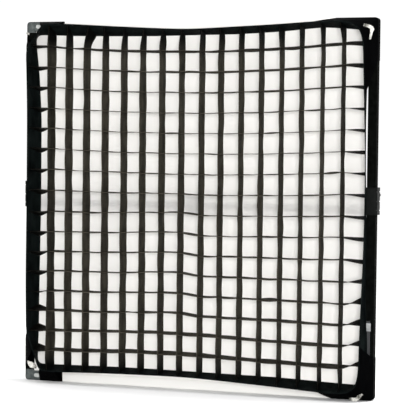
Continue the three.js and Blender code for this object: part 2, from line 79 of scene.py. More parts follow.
# ---- places worked out from the CAD frame ----
SLATS_LOW, SLATS_HIGH = box_mm("crate_slats")
SHEET_LOW, SHEET_HIGH = box_mm("diffuser_sheet")
TUBE_LOW, TUBE_HIGH = box_mm("right_rail_upper")
_, ELBOW_HIGH = box_mm("corner_elbow_top_right")
CENTRE_Z = (SLATS_LOW[2] + SLATS_HIGH[2]) / 2
CRATE_FRONT_Y = SLATS_LOW[1]
CRATE_BACK_Y = SLATS_HIGH[1]
HALF_FRAME = ELBOW_HIGH[0]


# ---- camera ----
def add_camera():
    yaw, pitch, roll = (math.radians(a) for a in (CAMERA_YAW, CAMERA_PITCH, CAMERA_ROLL))
    ahead = math.cos(pitch)
    forward = Vector((-math.sin(yaw) * ahead, math.cos(yaw) * ahead, -math.sin(pitch)))
    level = Vector((math.cos(yaw), math.sin(yaw), 0))
    up = level.cross(forward)
    right = math.cos(roll) * level + math.sin(roll) * up
    up = -math.sin(roll) * level + math.cos(roll) * up
    camera = bpy.data.cameras.new("camera")
    camera.sensor_width = SENSOR_SIDE
    camera.lens = CAMERA_LENS
    camera.clip_end = 60
    holder = bpy.data.objects.new("camera", camera)
    turn = Matrix((right, up, -forward)).transposed().to_4x4()
    holder.matrix_world = Matrix.Translation(CAMERA_PLACE) @ turn
    bpy.context.scene.collection.objects.link(holder)
    bpy.context.scene.camera = holder


# ---- node materials ----
class Paint:
    """A material under construction: its nodes, and short ways to link them."""

    def __init__(self, name, color, roughness, metallic=0.0):
        self.material = bpy.data.materials.new(name)
        self.material.use_nodes = True
        self.tree = self.material.node_tree
        self.shader = next(n for n in self.tree.nodes if n.type == "BSDF_PRINCIPLED")
        self.output = next(n for n in self.tree.nodes if n.type == "OUTPUT_MATERIAL")
        self.shader.inputs["Base Color"].default_value = (*color, 1)
        self.shader.inputs["Roughness"].default_value = roughness
        self.shader.inputs["Metallic"].default_value = metallic
        self.material.diffuse_color = (*color, 1)
        self.height = None

    def node(self, kind, **settings):
        made = self.tree.nodes.new(kind)
        for key, value in settings.items():
            if key in made.inputs:
                made.inputs[key].default_value = value
            else:
                setattr(made, key, value)
        return made

    def link(self, source, target):
        self.tree.links.new(source, target)

    def coordinates(self, scale=(1, 1, 1), uv=False):
        source = self.node("ShaderNodeTexCoord").outputs["UV" if uv else "Object"]
        mapping = self.node("ShaderNodeMapping")
        mapping.inputs["Scale"].default_value = scale
        self.link(source, mapping.inputs["Vector"])
        return mapping.outputs["Vector"]

    def math(self, operation, first, second=None):
        made = self.node("ShaderNodeMath", operation=operation)
        for socket, value in zip(made.inputs, (first, second)):
            if value is None:
                continue
            if isinstance(value, (int, float)):
                socket.default_value = value
            else:
                self.link(value, socket)
        return made.outputs[0]

    def split(self, vector):
        made = self.node("ShaderNodeSeparateXYZ")
        self.link(vector, made.inputs[0])
        return made.outputs

    def noise(self, scale, vector, detail=3.0, roughness=0.55):
        made = self.node("ShaderNodeTexNoise", Scale=scale, Detail=detail, Roughness=roughness)
        self.link(vector, made.inputs["Vector"])
        return made.outputs["Fac"]

    def ramp(self, value, low, high, low_to=0.0, high_to=1.0):
        made = self.node("ShaderNodeMapRange")
        made.inputs["From Min"].default_value = low
        made.inputs["From Max"].default_value = high
        made.inputs["To Min"].default_value = low_to
        made.inputs["To Max"].default_value = high_to
        self.link(value, made.inputs["Value"])
        return made.outputs[0]

    def blend_color(self, factor, first, second):
        """A mix of two colours, each a tuple or a socket. The mix node has sockets for every kind
        of value, and its colour sockets are inputs 6 and 7 and output 2."""
        made = self.node("ShaderNodeMix", data_type="RGBA")
        self.link(factor, made.inputs["Factor"])
        for socket, value in ((made.inputs[6], first), (made.inputs[7], second)):
            if isinstance(value, tuple):
                socket.default_value = (*value, 1)
            else:
                self.link(value, socket)
        return made.outputs[2]

    def color(self, value):
        self.link(value, self.shader.inputs["Base Color"])

    def rough(self, value):
        self.link(value, self.shader.inputs["Roughness"])

    def bump(self, height, distance, strength=1.0):
        made = self.node("ShaderNodeBump", Strength=strength, Distance=distance)
        self.link(height, made.inputs["Height"])
        if self.height is not None:
            self.link(self.height, made.inputs["Normal"])
        self.height = made.outputs["Normal"]
        self.link(self.height, self.shader.inputs["Normal"])


def threads(paint, coordinates, across, along, pitch):
    """The height of a plain weave whose threads are pitch metres apart, from 0 to 1."""
    axes = paint.split(coordinates)
    waves = []
    for axis in (across, along):
        turn = paint.math("MULTIPLY", axes[axis], 2 * math.pi / pitch)
        waves.append(paint.math("SINE", turn))
    product = paint.math("MULTIPLY", waves[0], waves[1])
    return paint.ramp(product, -1, 1)


def worn_edges_over(paint, shade, worn, amount):
    """The shade with the worn colour in patches over the outward edges, as strong as amount."""
    place = paint.coordinates()
    pointiness = paint.node("ShaderNodeNewGeometry").outputs["Pointiness"]
    edge = paint.ramp(pointiness, 0.52, 0.62, 0, amount)
    patchy = paint.ramp(paint.noise(70, place), 0.42, 0.62)
    return paint.blend_color(paint.math("MULTIPLY", edge, patchy), shade, worn)


def black_tube():
    """Matt black powder coat on the square tubes."""
    paint = Paint("tube_black", (0.0014, 0.0017, 0.0014), 0.42)
    place = paint.coordinates()
    cloudy = paint.noise(14, place, detail=4)
    shade = paint.blend_color(cloudy, (0.001, 0.0012, 0.001), (0.0024, 0.0028, 0.0024))
    paint.color(worn_edges_over(paint, shade, (0.03, 0.033, 0.03), 0.05))
    paint.rough(paint.ramp(paint.noise(45, place, detail=5), 0.3, 0.7, 0.5, 0.66))
    paint.bump(paint.noise(1900, place, detail=1), 0.00004)
    paint.shader.inputs["Specular IOR Level"].default_value = 0.06
    paint.shader.inputs["IOR"].default_value = 1.12
    return paint.material


def cast_slate():
    """Cast corner elbows: dark slate grey with a sandy skin."""
    paint = Paint("elbow_slate", (0.026, 0.034, 0.033), 0.55, 0.15)
    place = paint.coordinates()
    cloudy = paint.noise(60, place, detail=4)
    shade = paint.blend_color(cloudy, (0.018, 0.025, 0.024), (0.034, 0.044, 0.043))
    paint.color(worn_edges_over(paint, shade, (0.14, 0.155, 0.15), 0.45))
    paint.rough(paint.ramp(cloudy, 0.3, 0.7, 0.42, 0.6))
    paint.bump(paint.noise(1300, place, detail=2), 0.00007)
    return paint.material


def moulded(name, dark, light, roughness, grain, gloss=0.4):
    """Moulded plastic with a fine pebbled grain and slightly polished edges."""
    paint = Paint(name, light, roughness)
    place = paint.coordinates()
    cells = paint.node("ShaderNodeTexVoronoi", Scale=grain)
    paint.link(place, cells.inputs["Vector"])
    cloudy = paint.noise(55, place)
    shade = paint.blend_color(cloudy, dark, light)
    polished = tuple(min(1.0, 2.2 * c) for c in light)
    paint.color(worn_edges_over(paint, shade, polished, 0.3))
    paint.rough(paint.ramp(cloudy, 0.3, 0.7, roughness - 0.07, roughness + 0.09))
    paint.bump(cells.outputs["Distance"], 0.00006)
    paint.shader.inputs["Specular IOR Level"].default_value = gloss
    return paint.material


def metal(name, dark, light, roughness, stretch):
    """Bright metal with fine lines along the direction in which stretch is smallest."""
    paint = Paint(name, light, roughness, 1.0)
    lines = paint.noise(420, paint.coordinates(stretch), detail=4)
    paint.color(paint.blend_color(lines, dark, light))
    paint.rough(paint.ramp(lines, 0.3, 0.7, roughness - 0.08, roughness + 0.14))
    paint.bump(lines, 0.00002)
    return paint.material


def webbing():
    """Woven strap: ribs across it, over a finer weave."""
    rib_pitch = 0.0016
    paint = Paint("webbing_black", (0.02, 0.021, 0.022), 0.75)
    place = paint.coordinates()
    axes = paint.split(place)
    turn = paint.math("MULTIPLY", axes[2], 2 * math.pi / rib_pitch)
    ribs = paint.ramp(paint.math("SINE", turn), -1, 1)
    weave = threads(paint, place, 0, 2, 0.0011)
    height = paint.math("ADD", ribs, paint.math("MULTIPLY", weave, 0.6))
    paint.color(paint.blend_color(weave, (0.012, 0.013, 0.014), (0.036, 0.038, 0.04)))
    paint.bump(height, 0.00025)
    paint.shader.inputs["Sheen Weight"].default_value = 0.2
    return paint.material


def stitch_line(paint, uv, at, length=0.0032, gap=0.0012, width=0.0007):
    """1 on the stitches of a seam that runs along U at V = at, and 0 off them."""
    axes = paint.split(uv)
    off = paint.math("ABSOLUTE", paint.math("SUBTRACT", axes[1], at))
    near = paint.math("LESS_THAN", off, width / 2)
    phase = paint.math("MODULO", axes[0], length + gap)
    return paint.math("MULTIPLY", near, paint.math("LESS_THAN", phase, length))


def crate_cloth(name, dark, light, seams, gloss, painted_border_shade=False):
    """Coated black nylon: a fine weave, soft creases with painted shade in their hollows, and a row of
    stitches at each V of seams.
    When asked, it darkens towards the crate's border: painted shade, where the band and pockets would
    shade the slats."""
    paint = Paint(name, light, 0.6)
    place = paint.coordinates()
    uv = paint.coordinates(uv=True)
    weave = threads(paint, uv, 0, 1, 0.0009)
    creases = paint.noise(38, paint.coordinates((1, 1, 0.35)), detail=5, roughness=0.6)
    # painted shade: darker in the low parts of the creases that the bump draws
    shade = paint.blend_color(paint.ramp(creases, 0.34, 0.68), dark, light)
    shade = paint.blend_color(paint.math("MULTIPLY", weave, 0.35), shade, dark)
    if painted_border_shade:
        # painted shade: near black towards the border band
        axes = paint.split(place)
        rise = paint.math("ABSOLUTE", paint.math("SUBTRACT", axes[2], CENTRE_Z * MM))
        reach = paint.math("MAXIMUM", rise, paint.math("ABSOLUTE", axes[0]))
        ends = paint.ramp(reach, 0.42, 0.48, 0, 0.96)
        shade = paint.blend_color(ends, shade, (0.0008, 0.001, 0.001))
    for seam in seams:
        sewn = stitch_line(paint, uv, seam)
        shade = paint.blend_color(sewn, shade, tuple(1.8 * c for c in light))
        paint.bump(sewn, 0.0004)
    paint.color(shade)
    paint.rough(paint.ramp(creases, 0.3, 0.7, 0.45, 0.68))
    paint.bump(creases, 0.0018)
    paint.bump(weave, 0.00012)
    paint.shader.inputs["Specular IOR Level"].default_value = gloss
    paint.shader.inputs["IOR"].default_value = 1.2
    return paint.material


def diffuser_cloth(name, through, tint):
    """White artificial silk with a fine weave and slubs. through is the share of light that it
    lets through."""
    paint = Paint(name, tint, 0.75)
    place = paint.coordinates()
    weave = threads(paint, place, 0, 2, 0.0007)
    slubs = paint.noise(160, paint.coordinates((0.12, 1, 1)), detail=3)
    soft = paint.noise(5, place, detail=2)
    shade = paint.blend_color(paint.ramp(soft, 0.3, 0.7), tuple(0.965 * c for c in tint), tint)
    shade = paint.blend_color(paint.math("MULTIPLY", slubs, 0.08), shade, (0.78, 0.78, 0.76))
    paint.color(shade)
    paint.bump(slubs, 0.00015)
    paint.bump(weave, 0.00006)
    paint.shader.inputs["Sheen Weight"].default_value = 0.1
    paint.shader.inputs["Specular IOR Level"].default_value = 0.2
    glow = paint.node("ShaderNodeBsdfTranslucent")
    paint.link(shade, glow.inputs["Color"])
    mix = paint.node("ShaderNodeMixShader", Fac=through)
    paint.link(paint.shader.outputs[0], mix.inputs[1])
    paint.link(glow.outputs[0], mix.inputs[2])
    paint.link(mix.outputs[0], paint.output.inputs["Surface"])
    return paint.material


def crumpled_white():
    """The cloth of the corner tabs: off-white, handled and creased, with shaded folds."""
    paint = Paint("tab_white", (0.5, 0.49, 0.45), 0.8)
    place = paint.coordinates()
    folds = paint.noise(48, place, detail=3, roughness=0.55)
    lit = paint.ramp(folds, 0.36, 0.56)
    shade = paint.blend_color(lit, (0.08, 0.078, 0.066), (0.62, 0.61, 0.57))
    paint.color(shade)
    paint.bump(folds, 0.006)
    paint.bump(threads(paint, place, 0, 2, 0.0007), 0.00008)
    paint.shader.inputs["Specular IOR Level"].default_value = 0.15
    return paint.material


def dress_cad_nodes(looks):
    """Gives every CAD node the look of its material slot."""
    for part in frame["record"]["subparts"]:
        node = NODES[part["node"]]
        node.data.materials.clear()
        node.data.materials.append(looks[part["material_slot"]])


# ---- cloth as closed thin ribbons ----
def run_along(line):
    """How far along a line of points each point is, from 0."""
    steps = np.linalg.norm(np.diff(line, axis=0), axis=1)
    return np.concatenate([[0], np.cumsum(steps)])


class Cloth:
    """Collects closed ribbons into one mesh, with UVs in metres along and across them."""

    def __init__(self):
        self.points = []
        self.faces = []
        self.uvs = []

    def ribbon(self, middle, thickness, closed=False):
        """Adds one ribbon. middle is [along, across, xyz] in mm, and thickness, in mm, has one value
        for each station across. A closed ribbon's last station joins its first."""
        along, across = middle.shape[:2]
        down = np.gradient(middle, axis=0)
        if closed:
            down = np.roll(middle, -1, axis=0) - np.roll(middle, 1, axis=0)
        side = np.gradient(middle, axis=1)
        normal = np.cross(down, side)
        normal /= np.linalg.norm(normal, axis=2, keepdims=True) + 1e-9
        half = normal * (np.asarray(thickness)[None, :, None] / 2)
        first = len(self.points)
        self.points.extend((middle + half).reshape(-1, 3) * MM)
        self.points.extend((middle - half).reshape(-1, 3) * MM)
        u = run_along(middle[:, across // 2]) * MM
        v = run_along(middle[along // 2]) * MM
        u = np.append(u, u[-1] + u[1])

        def quad(corners, turned):
            """Adds a face through four corners, each (station along, station across, on the back)."""
            if turned:
                corners = corners[::-1]
            self.faces.append([first + (back * along + i % along) * across + j for i, j, back in corners])
            self.uvs.extend((u[i], v[j]) for i, j, back in corners)

        for i in range(along if closed else along - 1):
            for j in range(across - 1):
                for back in (False, True):
                    quad([(i, j, back), (i + 1, j, back), (i + 1, j + 1, back), (i, j + 1, back)], back)
            for j, turned in ((0, False), (across - 1, True)):
                quad([(i, j, True), (i + 1, j, True), (i + 1, j, False), (i, j, False)], turned)
        if closed:
            return
        for i, turned in ((0, True), (along - 1, False)):
            for j in range(across - 1):
                quad([(i, j, True), (i, j + 1, True), (i, j + 1, False), (i, j, False)], turned)

    def build(self, name, look):
        """Makes the mesh, which rides on the panel as all the cloth does."""
        mesh = bpy.data.meshes.new(name)
        mesh.from_pydata([tuple(p) for p in self.points], [], self.faces)
        layer = mesh.uv_layers.new(name="cloth")
        layer.data.foreach_set("uv", np.array(self.uvs, np.float32).ravel())
        mesh.materials.append(look)
        mesh.polygons.foreach_set("use_smooth", [True] * len(mesh.polygons))
        mesh.set_sharp_from_angle(angle=math.radians(50))
        mesh.validate()
        made = bpy.data.objects.new(name, mesh)
        bpy.context.scene.collection.objects.link(made)
        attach(made, "panel")
        return made


# ---- egg crate ----
SLAT_DEPTH_STATIONS = [0, 0.07, 0.13, 0.5, 0.87, 0.93, 1]
SLAT_DEPTH = 50
CRATE_SEED = 7
SLAT_THICKNESS = [1.5, 1.5, 0.8, 0.8, 0.8, 1.5, 1.5]
BORDER_THICKNESS = [2.2, 2.2, 1.2, 1.2, 1.2, 2.2, 2.2]
STATION = PITCH_ACROSS / STEPS
SIDES = ("left", "top", "right", "bottom")  # in the order in which the border's loop passes them
# How far each side of the border stands from the panel's centre, at its back and front edges:
# nine places along it, from left to right or from bottom to top.
REACH = {
    "top": ([498, 493, 491, 490, 492, 493, 499, 510, 501],
            [528, 524, 516, 509, 503, 509, 514, 522, 527]),
    "bottom": ([486, 484, 482, 482, 483, 484, 485, 490, 494],
               [500, 497, 493, 491, 490, 496, 502, 510, 516]),
    "left": ([496, 492, 491, 489, 487, 487, 487, 494, 508],
             [505, 506, 508, 507, 506, 506, 506, 509, 514]),
    "right": ([516, 515, 508, 509, 507, 504, 503, 505, 508],
              [505, 507, 511, 516, 518, 518, 514, 509, 507]),
}
SCALLOP = 0.8  # how deep the border bows in between two slats
CORNER_SMOOTHING = (4, 60)  # passes that round the border's corners, at its back and front edges
# Where the front edge cuts across a corner: how many sides the loop has passed by then, and how
# far before and after the corner the cut begins and ends.
CORNER_CUTS = [(1, 74, 50), (4, 44, 118)]


def smooth(value, low, high):
    """0 up to low, 1 from high on, and a soft rise between them."""
    t = np.clip((value - low) / (high - low), 0, 1)
    return t * t * (3 - 2 * t)


def soften(loop):
    """Moves each station of a closed loop halfway to its neighbours' middle."""
    return 0.5 * loop + 0.25 * (np.roll(loop, 1, axis=0) + np.roll(loop, -1, axis=0))


def cut_corner(loop, middle, before, after, share):
    """Draws the stations round a corner of the loop towards a straight chord, by share."""
    indices = np.arange(middle - before, middle + after + 1) % len(loop)
    t = np.linspace(0, 1, len(indices))[:, None]
    chord = loop[indices[0]] * (1 - t) + loop[indices[-1]] * t
    loop[indices] = loop[indices] * (1 - share) + chord * share


def side_reach(side, at, depth):
    """How far a side of the border stands from the panel's centre, at from -1 to 1 along it."""
    places = np.linspace(-1, 1, len(REACH[side][0]))
    back, front = (np.interp(at, places, values) for values in REACH[side])
    return back + (front - back) * depth


class Border:
    """The crate's border band: a closed loop of stations at each depth, from the panel's centre.
    It begins at the bottom left, and goes up the left side first."""

    def __init__(self, depths):
        self.per_side = CELLS * STEPS
        self.loops = [self.loop_at(depth) for depth in depths]

    def loop_at(self, depth):
        t = np.arange(self.per_side) / self.per_side * 2 - 1
        scallop = SCALLOP * (np.abs(np.sin(np.pi * (t + 1) / 2 * CELLS)) - 0.5)

        def between(low_side, high_side, end):
            """Places along a side, from one neighbour's reach to the other's; end is where it lies
            on them, -1 or 1."""
            reach_low = side_reach(low_side, end, depth)
            reach_high = side_reach(high_side, end, depth)
            return np.interp(t, (-1, 1), (-reach_low, reach_high))

        left_x = -side_reach("left", t, depth) + scallop
        top_z = side_reach("top", t, depth) - scallop
        right_x = side_reach("right", t, depth) - scallop
        bottom_z = -side_reach("bottom", t, depth) + scallop
        loop = np.concatenate([
            np.stack([left_x, between("bottom", "top", -1)], 1),
            np.stack([between("left", "right", 1), top_z], 1),
            np.stack([right_x, between("bottom", "top", 1)], 1)[::-1],
            np.stack([between("left", "right", -1), bottom_z], 1)[::-1],
        ])
        back_passes, front_passes = CORNER_SMOOTHING
        for _ in range(round(back_passes + (front_passes - back_passes) * depth)):
            loop = soften(loop)
        for sides, before, after in CORNER_CUTS:
            cut_corner(loop, sides * self.per_side, round(before / STATION), round(after / STATION), depth)
        for _ in range(6):
            loop = soften(loop)
        return loop

    def meets(self, side, at, k):
        """Where a slat at that height or across-place ends on a side, at depth station k."""
        start = SIDES.index(side) * self.per_side
        part = self.loops[k][start:start + self.per_side]
        along, out = (1, 0) if side in ("left", "right") else (0, 1)
        order = np.argsort(part[:, along])
        return float(np.interp(at, part[order, along], part[order, out]))

    def surface(self, depth_y):
        """The band as [stations, depths, xyz], with y from depth_y."""
        middle = np.zeros((4 * self.per_side, len(depth_y), 3))
        for k, loop in enumerate(self.loops):
            middle[:, k, 0] = loop[:, 0]
            middle[:, k, 1] = depth_y[k]
            middle[:, k, 2] = loop[:, 1] + CENTRE_Z
        return middle


# How far the ends of each row of slats rise above its middle, at the left and at the right.
SMILE_LEFT = [22, 22, 20, 19, 17, 16, 14, 11, 6, 1, -1, -1, -1, -1, -1, 0, 0, 0]
SMILE_RIGHT = [24, 25, 23, 21, 20, 18, 17, 16, 13, 10, 9, 4, -1, -6, -6, -4, -4, 0]


ROW_RISE = 3.3  # how far the rows stand above an even pitch, all but the last ones
TOP_RISE = 1.4  # and the top rows besides
HUMP = 8  # the slack rows' short rise, just left of the middle
SWELL = 9.5  # the last rows' long rise


def row_lift(t, row):
    """How far row stands off its level at t across the crate, from -1 at the left to 1 at the right."""
    smile = (SMILE_LEFT if t < 0 else SMILE_RIGHT)[row] * t * t
    slack = smooth(row, 7.2, 9.6)
    last = smooth(row, 13.8, 15.2)
    top = max(0, 1 - row / (CELLS / 2)) * (1 - 0.4 * t)
    level = (ROW_RISE + TOP_RISE * top) * (1 - last)
    hump = HUMP * math.exp(-((t + 0.09) / 0.3) ** 2) * (1 - smooth(t, -0.08, 0.04))
    swell = SWELL * math.exp(-((t + 0.15) / 0.55) ** 2)
    return level + smile + slack * (hump * (1 - last) + swell * last)


# How far each column's front edge is dragged sideways where it is sewn to the top of the border.
TOP_SPLAY = [0, 2, 3, 12, 5, 9, 10, 8, 6, 4, 2, 0, -2, -3, -2, -4, -8, 0]
TOP_BACK_DRAG = {3: 18}  # and its back edge, where that is dragged too
COLUMN_SHIFT = [0, -1, -3, -5, -5, -5, -5, -4, -3, 0, -1, 1, 2, 3, 3, 5, 6, 0]
FLARE = 1.4  # how far the outermost columns' front edges lean outward
# How far the front edge of each row stands above its back edge.
ROW_TILT = [0, 3.2, 2.2, 1.2, 0, 0, 0, 0, 0, 0, 0, 0, 0, 0, -1.2, -2.4, -4, 0]
# The level slats' ends are sewn on twisted: how far the back and front edges of each stand above
# its row, at the border's left and right sides.
LEFT_ENDS = [(back, -2) for back in [0, -6, -13, -14] + [-17] * 9 + [-11, 13, 14, 12, 0]]
RIGHT_ENDS = [(-10, -2)] * 4 + [(-2, -10)] * 8 + [(-6, 12)] + [(-2, 24)] * 5


def end_lift(ends, row, depth):
    back, front = ends[row]
    return back + (front - back) * depth


def first_column_turn(row):
    """How far the first column's edges stand apart because it turns flat towards its ends."""
    return 5 * (1 - smooth(row, 1, 5)) + 6 * smooth(row, 12, 16)


class Lattice:
    """The crate's crossings. Each has small errors of its own, in x and z, at its front and back."""

    def __init__(self, seed, depths):
        self.random = np.random.default_rng(seed)
        self.depths = depths
        self.border = Border(depths)
        count = CELLS + 1
        self.wander = np.clip(self.random.normal(0, 0.5, (2, count, count, 2)), -1.0, 1.0)

    def crossing(self, column, row, k):
        """x and z of a crossing from the panel's centre, at depth station k."""
        depth = self.depths[k]
        across = (column - CELLS / 2) / (CELLS / 2)
        x = (column - CELLS / 2) * PITCH_ACROSS + COLUMN_SHIFT[column]
        z = (CELLS / 2 - row) * PITCH_DOWN + row_lift(across, row)
        front_error, back_error = self.wander[:, column, row].T
        error = front_error * depth + back_error * (1 - depth)
        x += error[0] + (depth - 0.5) * FLARE * across
        z += error[1] + (depth - 0.5) * ROW_TILT[row]
        if column == 1:
            x -= (depth - 0.5) * first_column_turn(row)
        if column == CELLS:
            z += end_lift(RIGHT_ENDS, row, depth)
            x = self.border.meets("right", z, k)
        elif column == 0:
            z += end_lift(LEFT_ENDS, row, depth)
            x = self.border.meets("left", z, k)
        elif row == 0:
            x += TOP_SPLAY[column] * depth + TOP_BACK_DRAG.get(column, 0) * (1 - depth)
            z = self.border.meets("top", x, k)
        elif row == CELLS:
            z = self.border.meets("bottom", x, k)
        return x, z


def along_cells(values, steps=STEPS):
    """A smooth line through one value per crossing, with steps stations in each cell."""
    values = np.asarray(values, float)
    stations = np.arange(0, (len(values) - 1) * steps + 1) / steps
    low = np.minimum(stations.astype(int), len(values) - 2)
    part = stations - low
    slope = np.gradient(values)
    slope[1], slope[-2] = (values[2] - values[1]), (values[-2] - values[-3])
    slope[0], slope[-1] = (values[1] - values[0]), (values[-1] - values[-2])
    h00 = 2 * part**3 - 3 * part**2 + 1
    h10 = part**3 - 2 * part**2 + part
    h01 = -2 * part**3 + 3 * part**2
    h11 = part**3 - part**2
    return h00 * values[low] + h10 * slope[low] + h01 * values[low + 1] + h11 * slope[low + 1]


def buckle(source, depths, level):
    """The sideways bow of each stretch of one slat, [stations, depths]: each cell has its own, and
    a few cells of a level slat hang twisted."""
    stations = np.arange(0, CELLS * STEPS + 1) / STEPS
    cell = np.minimum(stations.astype(int), CELLS - 1)
    part = stations - cell
    whole = source.normal(-0.4 if level else 0, 0.5, CELLS)
    twist = source.normal(0, 0.45, CELLS)
    loose = source.random(CELLS) < (0.06 if level else 0)
    twist[loose] += source.choice([-1, 1], loose.sum()) * 2.2
    second = source.normal(0, 0.5, CELLS)
    bow = whole[cell] * np.sin(np.pi * part)
    turn = twist[cell] * np.sin(np.pi * part)
    double = second[cell] * np.sin(2 * np.pi * part)
    lean = 2 * (np.asarray(depths) - 0.5)
    return bow[:, None] + turn[:, None] * lean[None, :] + double[:, None] * (1 - lean[None, :] ** 2)


def add_crate(slat_look, border_look):
    depths = np.array(SLAT_DEPTH_STATIONS)
    lattice = Lattice(CRATE_SEED, depths)
    depth_y = CRATE_BACK_Y + (CRATE_FRONT_Y - CRATE_BACK_Y) * depths
    slat_y = (CRATE_BACK_Y + CRATE_FRONT_Y) / 2 + SLAT_DEPTH * (0.5 - depths)
    cloth = Cloth()
    stations = CELLS * STEPS + 1
    for index in range(1, CELLS):
        for level in (False, True):
            middle = np.zeros((stations, len(depths), 3))
            for k in range(len(depths)):
                if level:
                    places = [lattice.crossing(c, index, k) for c in range(CELLS + 1)]
                else:
                    places = [lattice.crossing(index, r, k) for r in range(CELLS + 1)]
                middle[:, k, 0] = along_cells([p[0] for p in places])
                middle[:, k, 2] = along_cells([p[1] for p in places]) + CENTRE_Z
                middle[:, k, 1] = slat_y[k]
            middle[:, :, 2 if level else 0] += buckle(lattice.random, depths, level)
            cloth.ribbon(middle, SLAT_THICKNESS)
    slats = cloth.build("crate_lattice", slat_look)
    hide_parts("crate_slats")

    band = Cloth()
    band.ribbon(lattice.border.surface(depth_y), BORDER_THICKNESS, closed=True)
    border = band.build("crate_band", border_look)
    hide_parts("crate_border")
    return lattice.border


# ---- diffuser ----
SIDE_BOW = 4  # how far the silk's side edges are drawn in between its corners
SILK_THICKNESS = 0.5
SLEEVE_WALL = 0.7
SLEEVE_INSET = 0.45  # from the CAD sleeve's outer face to the middle of the cloth
SLEEVE_ROUND = 2.5


def add_diffuser(silk, sleeve_look):
    count = 72
    half_x = SHEET_HIGH[0]
    half_z = (SHEET_HIGH[2] - SHEET_LOW[2]) / 2
    t = np.linspace(-1, 1, count)
    middle = np.zeros((count, count, 3))
    for i, down in enumerate(t):
        width = half_x - SIDE_BOW * (1 - down**8)
        middle[i, :, 0] = t * width
        middle[i, :, 2] = CENTRE_Z - down * half_z
    x, z = middle[:, :, 0], middle[:, :, 2] - CENTRE_Z
    pull = np.abs(t)[:, None] ** 3 * np.abs(t)[None, :] ** 3
    ripple = 0.6 * np.sin(x / 61 + z / 190) + 0.5 * np.sin(z / 73 - x / 300 + 1.3)
    fold = 1.3 * pull * (0.5 + 0.5 * np.sin((np.abs(x) - np.abs(z)) / 9))
    middle[:, :, 1] = SHEET_LOW[1] + 0.9 + 0.4 * ripple + fold
    cloth = Cloth()
    cloth.ribbon(middle, [SILK_THICKNESS] * count)
    sheet = cloth.build("diffuser_silk", silk)
    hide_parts("diffuser_sheet")

    for name in ("top", "bottom"):
        add_sleeve(name, sleeve_look)


def rounded_square(half, radius, per_corner=4, per_side=3):
    """Points round a square section, [points, (y, z)]: an arc at each corner, and per_side points
    between two arcs."""
    arcs = []
    for quarter in range(4):
        start = quarter * math.pi / 2
        centre = (half - radius) * np.sign([math.cos(start + math.pi / 4), math.sin(start + math.pi / 4)])
        angles = start + np.linspace(0, math.pi / 2, per_corner + 1)
        arcs.append(centre + radius * np.stack([np.cos(angles), np.sin(angles)], 1))
    shares = np.arange(1, per_side + 1)[:, None] / (per_side + 1)
    section = []
    for arc, following in zip(arcs, arcs[1:] + arcs[:1]):
        section.append(arc)
        section.append(arc[-1] + (following[0] - arc[-1]) * shares)
    return np.concatenate(section)


def add_sleeve(name, look):
    """The hem sewn round a level rail: a slightly loose tube of cloth with soft cross folds."""
    low, high = box_mm(f"diffuser_sleeve_{name}")
    half = (high[2] - low[2]) / 2
    centre = ((low[1] + high[1]) / 2, (low[2] + high[2]) / 2)
    section = rounded_square(half - SLEEVE_INSET, SLEEVE_ROUND)
    source = random.Random(11 if name == "top" else 12)
    count = 140
    phases = [source.uniform(0, 6.28) for _ in range(4)]
    middle = np.zeros((len(section), count, 3))
    for j in range(count):
        x = low[0] + (high[0] - low[0]) * j / (count - 1)
        puff = 0.35 * math.sin(x / 23 + phases[0]) + 0.3 * math.sin(x / 37 + phases[1])
        for i, (y, z) in enumerate(section):
            wave = 0.25 * math.sin(x / 11 + phases[2] + 2.2 * i)
            grow = 1 + (puff + wave) / half * 0.5
            off_floor = max(centre[1] + z * grow, low[2] + 0.4)
            middle[i, j] = (x, centre[0] + y * grow, off_floor)
    cloth = Cloth()
    cloth.ribbon(middle, [SLEEVE_WALL] * count, closed=True)
    sleeve = cloth.build(f"sleeve_{name}", look)
    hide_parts(f"diffuser_sleeve_{name}")


# ---- corner pockets ----
POCKET_LEG = 118
POCKET_WALL = 0.9
POCKET_ROUND = (3, 9)  # the L's corner radius on its inner and outer sides
POCKET_OFFSET = 13.8  # from a rail's centre line to the middle of the cloth round it
RAIL_LINE = (TUBE_LOW[0] + TUBE_HIGH[0]) / 2
WINDOW = 50  # the front is open this far over the elbow and its button at the left corners
FLAP_GAP = 20  # and at the right corners
HOOD_TIP = 2.0  # the hood is sewn this far behind the band's front edge
HOOD_STATIONS = 64  # along a hood
HOOD_ACROSS = 12
TAB_WALL = 0.6

# name: (side, windowed, stretches of hood, how far the hood runs along the band)
POCKETS = {
    "top_left": ((-1, 1), True, [(0, 0.34), (0.68, 1)], (125, 125)),
    "top_right": ((1, 1), False, [(0, 1)], (178, 225)),
    "bottom_left": ((-1, -1), True, [(0, 0.3), (0.66, 1)], (125, 150)),
    "bottom_right": ((1, -1), False, [(0, 1)], (150, 160)),
}
# The white cloth tab that comes through at each corner: stations along the hood and across it,
# both from 0 to 1, with the tab's width there.
TABS = {
    "top_left": [(0.62, 0.1, 4), (0.60, 0.35, 5), (0.57, 0.6, 4)],
    "top_right": [(0.44, 0.62, 6), (0.47, 0.54, 9), (0.50, 0.46, 8), (0.54, 0.38, 13),
                  (0.58, 0.46, 8), (0.62, 0.5, 4)],
    "bottom_left": [(0.63, 0.48, 4), (0.57, 0.58, 11), (0.51, 0.68, 16), (0.44, 0.78, 16),
                    (0.36, 0.88, 8)],
    "bottom_right": [(0.28, 0.29, 8), (0.33, 0.30, 16), (0.38, 0.33, 16), (0.45, 0.46, 10),
                     (0.50, 0.5, 5)],
}


